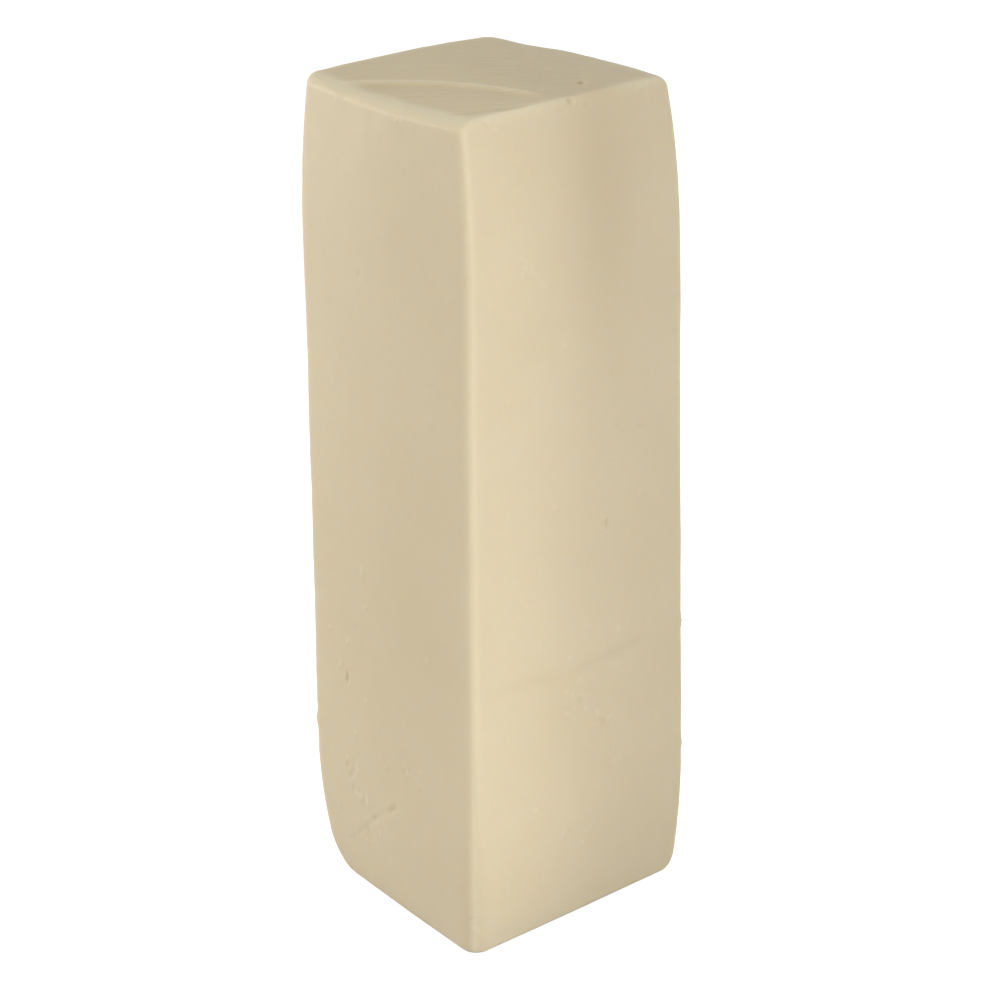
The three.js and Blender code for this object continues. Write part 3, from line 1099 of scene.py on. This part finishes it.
    def row_heights(self) -> Array:
        """Works out the rows' heights: even steps of a quarter turn over each rim, and even over the body.

        Returns:
            The heights up the plain block, in millimetres.
        """
        foot_rim, top_rim = self.block.foot_rim.column.max(), self.block.top_rim_height.column.max()
        foot, body, top = (np.linspace(0, 1, count + 1) for count in self.rows)
        length = self.block.height - foot_rim - top_rim
        over_foot = foot_rim * (1 - np.cos(foot * np.pi / 2))
        over_top = self.block.height - top_rim * (1 - np.sin(top * np.pi / 2))
        return np.concatenate([over_foot[:-1], foot_rim + length * body[:-1], over_top])

    def fine_lift(self, skin: Skin) -> Array:
        """Adds up the lifts of the crease, the grooves and the marks."""
        flecks = [mark for patch in self.scuffs for mark in patch.marks()]
        return sum(part.lift(skin) for part in (self.crease, *self.grooves, *self.marks, *flecks))

    def kept_off_foot(self, skin: Skin, lift: Array) -> Array:
        """Takes the lift away at the foot, over its rim, so that the loaf rests on a flat face."""
        return lift * np.clip(skin.lattice[:, 2] / self.block.foot_rim.front, 0, 1)

    def laid(self, points: Array, bare: Array) -> Array:
        """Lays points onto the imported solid's box, in metres.

        Args:
            points: The points in millimetres.
            bare: The bare block's points, whose box is set on the solid's.

        Returns:
            The points in the frame.
        """
        low, high = (np.array(corner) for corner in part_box(NODE))
        bare_low, bare_high = bare.min(axis=0), bare.max(axis=0)
        scale = (high[2] - low[2]) / (bare_high[2] - bare_low[2])
        foot = (low + high) / 2 * (1, 1, 0) + low * (0, 0, 1)
        bare_foot = (bare_low + bare_high) / 2 * (1, 1, 0) + bare_low * (0, 0, 1)
        return (points - bare_foot) * scale + foot

    @staticmethod
    def vertices(mesh: bpy.types.Mesh) -> Array:
        """Reads a mesh's vertices.

        Args:
            mesh: The mesh.

        Returns:
            The vertices, one to a row.
        """
        places = np.empty(len(mesh.vertices) * 3, dtype=np.float32)
        mesh.vertices.foreach_get("co", places)
        return places.reshape(-1, 3).astype(float)

    @staticmethod
    def put(mesh: bpy.types.Mesh, points: Array) -> None:
        """Moves a mesh's vertices to new points."""
        mesh.vertices.foreach_set("co", points.astype(np.float32).ravel())
        mesh.update()

    @staticmethod
    def store(mesh: bpy.types.Mesh, name: str, values: Array) -> None:
        """Stores a value for each vertex, for the finish to read."""
        mesh.attributes.new(name, "FLOAT", "POINT").data.foreach_set("value", values.astype(np.float32))


def direction(azimuth: float, elevation: float) -> Vector:
    """Gives the direction from the loaf towards a place round it.

    Args:
        azimuth: Degrees round from the front, towards the right.
        elevation: Degrees above the horizon.

    Returns:
        The direction, one unit long.
    """
    turn, rise = math.radians(azimuth), math.radians(elevation)
    return Vector((math.sin(turn) * math.cos(rise), -math.cos(turn) * math.cos(rise), math.sin(rise)))


def foot_middle() -> Vector:
    """Finds the middle of the solid's foot."""
    low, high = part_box(NODE)
    return Vector(((low.x + high.x) / 2, (low.y + high.y) / 2, low.z))


class Tint(Enum):
    """The colours of the lamps' light."""

    WARM = (1.02, 1.0, 0.94)
    COOL = (0.99, 1.0, 1.03)


@dataclass(frozen=True)
class SoftLamp:
    """One soft rectangular lamp. Its sizes and places are in metres, from the middle of the loaf's foot.

    Attributes:
        name: Name of the lamp.
        place: Where it stands.
        aim: The point that it faces.
        width: Its width.
        height: Its height.
        power: Its power in watts.
        tint: Colour of its light.
    """

    name: str
    place: tuple[float, float, float]
    aim: tuple[float, float, float]
    width: float
    height: float
    power: float
    tint: Tint

    def build(self, foot: Vector) -> None:
        """Adds the lamp.

        Args:
            foot: The middle of the loaf's foot.
        """
        lamp = bpy.data.lights.new(self.name, "AREA")
        lamp.shape = "RECTANGLE"
        lamp.size = self.width
        lamp.size_y = self.height
        lamp.energy = self.power
        lamp.color = self.tint.value
        holder = bpy.data.objects.new(self.name, lamp)
        holder.location = foot + Vector(self.place)
        holder.rotation_euler = (Vector(self.place) - Vector(self.aim)).to_track_quat("Z", "Y").to_euler()
        holder.visible_camera = False
        bpy.context.scene.collection.objects.link(holder)


@dataclass
class Studio:
    """A pale floor in soft light.

    Attributes:
        lamps: The soft lamps.
        sky: Strength of the white light from all round.
        floor: Colour of the floor.
        floor_roughness: Roughness of the floor.
        floor_specular: Level of the light that the floor mirrors.
        backdrop: Strength of the white that is seen behind the loaf, and of what it adds to the floor.
        floor_reach: Distance from the loaf to the floor's edge, in metres.
    """

    lamps: tuple[SoftLamp, ...] = (
        SoftLamp("front_strip", (-0.045, -0.085, 0.17), (-0.0135, 0.0, 0.17), 0.04, 0.38, 0.0315, Tint.COOL),
        SoftLamp("low_strip", (-0.05, -0.12, 0.07), (-0.018, 0.0, 0.07), 0.04, 0.12, 0.004, Tint.COOL),
        SoftLamp("front_lamp", (0.0, -0.90, 0.30), (0.0, 0.0, 0.20), 0.50, 0.50, 2.82, Tint.COOL),
        SoftLamp("low_lamp", (-0.30, 0.0, 0.05), (0.0, 0.03, 0.05), 0.16, 0.16, 0.085, Tint.COOL),
        SoftLamp("left_lamp", (-0.50, 0.80, 0.30), (0.0, 0.0, 0.20), 0.50, 0.50, 4.0, Tint.WARM),
        SoftLamp("high_lamp", (-0.60, 0.30, 1.00), (0.0, 0.0, 0.20), 0.50, 0.50, 1.85, Tint.WARM),
        SoftLamp("right_lamp", (0.40, -0.12, 0.09), (0.0, 0.0, 0.09), 0.18, 0.18, 0.19, Tint.WARM),
        SoftLamp("rear_lamp", (0.28, 0.34, 0.13), (0.0, 0.0, 0.13), 0.22, 0.22, 0.6, Tint.WARM),
    )
    sky: float = 0.5
    floor: Colour = (0.5, 0.5, 0.5)
    floor_roughness: float = 0.9
    floor_specular: float = 0.1
    backdrop: float = 0.85
    floor_reach: float = 8.0

    def build(self) -> bpy.types.Object:
        """Adds the floor, the lamps and the light from all round.

        Returns:
            The floor's object.
        """
        foot = foot_middle()
        for lamp in self.lamps:
            lamp.build(foot)
        world = bpy.data.worlds.new("studio")
        world.use_nodes = True
        nodes = Nodes(world.node_tree)
        seen = nodes.add("ShaderNodeLightPath").outputs["Is Camera Ray"]
        strength = nodes.math("MULTIPLY_ADD", seen, self.backdrop, self.sky)
        sky = nodes.add("ShaderNodeBackground", {"Color": (1, 1, 1, 1), "Strength": strength})
        nodes.add("ShaderNodeOutputWorld", {"Surface": sky.outputs["Background"]})
        bpy.context.scene.world = world
        bpy.context.scene.view_settings.view_transform = "Standard"
        return self.build_floor(foot)

    def build_floor(self, foot: Vector) -> bpy.types.Object:
        """Adds the floor, a flat square under the loaf.

        Args:
            foot: The middle of the loaf's foot.

        Returns:
            The floor's object.
        """
        reach = self.floor_reach
        corners = [(-reach, -reach, 0), (reach, -reach, 0), (reach, reach, 0), (-reach, reach, 0)]
        mesh = bpy.data.meshes.new("floor")
        mesh.from_pydata([foot + Vector(corner) for corner in corners], [], [(0, 1, 2, 3)])
        mesh.materials.append(self.floor_material())
        floor = bpy.data.objects.new("floor", mesh)
        bpy.context.scene.collection.objects.link(floor)
        return floor

    def floor_material(self) -> bpy.types.Material:
        """Makes the floor's plain, matt material, which looks nearly as white as what is behind it.

        Returns:
            The material.
        """
        material = bpy.data.materials.new("floor")
        material.use_nodes = True
        nodes = Nodes(material.node_tree)
        seen = nodes.add("ShaderNodeLightPath").outputs["Is Camera Ray"]
        shader = nodes.add(
            "ShaderNodeBsdfPrincipled",
            {
                "Base Color": (*self.floor, 1),
                "Roughness": self.floor_roughness,
                "Specular IOR Level": self.floor_specular,
                "Emission Color": (1, 1, 1, 1),
                "Emission Strength": nodes.math("MULTIPLY", seen, self.backdrop),
            },
        )
        nodes.add("ShaderNodeOutputMaterial", {"Surface": shader.outputs["BSDF"]})
        return material


@dataclass(frozen=True)
class PhotoCamera:
    """The camera, where the photograph was taken from.

    Attributes:
        azimuth: Degrees round from the front, towards the right.
        elevation: Degrees above the horizon.
        roll: Degrees that it is turned about its own axis.
        distance: Distance from the point that it looks at, in loaf heights.
        aim: That point from the middle of the foot, in loaf heights.
        lens: Focal length in millimetres.
        sensor: Width of the square picture, in millimetres.
    """

    azimuth: float = -39.45
    elevation: float = 22.86
    roll: float = -0.81
    distance: float = 3.1566
    aim: tuple[float, float, float] = (0.0024, -0.0108, 0.4889)
    lens: float = 96.95
    sensor: float = 36.0

    def build(self) -> bpy.types.Object:
        """Adds the camera and makes it the scene's own.

        Returns:
            The camera's object.
        """
        low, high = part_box(NODE)
        tall = high.z - low.z
        back = direction(self.azimuth, self.elevation)
        right = direction(self.azimuth + 90, 0)
        place = foot_middle() + (Vector(self.aim) + back * self.distance) * tall
        turn = Matrix.Rotation(math.radians(self.roll), 4, back)
        axes = Matrix((right, back.cross(right), back)).transposed().to_4x4()
        data = bpy.data.cameras.new("photo_camera")
        data.sensor_width = self.sensor
        data.lens = self.lens
        camera = bpy.data.objects.new("photo_camera", data)
        camera.matrix_world = Matrix.Translation(place) @ turn @ axes
        bpy.context.scene.collection.objects.link(camera)
        bpy.context.scene.camera = camera
        return camera


def main() -> None:
    """Builds the loaf, the studio and the camera, and reports each."""
    logging.basicConfig(level=logging.INFO, format="%(name)s: %(message)s")
    cheese = CheeseLoaf()
    loaf = cheese.build()
    cheese.dress(loaf)
    loaf.data.calc_loop_triangles()
    log.info("%s: %d triangles", loaf.name, len(loaf.data.loop_triangles))
    floor = Studio().build()
    log.info("%s: stage", floor.name)
    camera = PhotoCamera().build()
    log.info("%s: %.2f mm lens", camera.name, camera.data.lens)


if __name__ == "__main__":
    main()
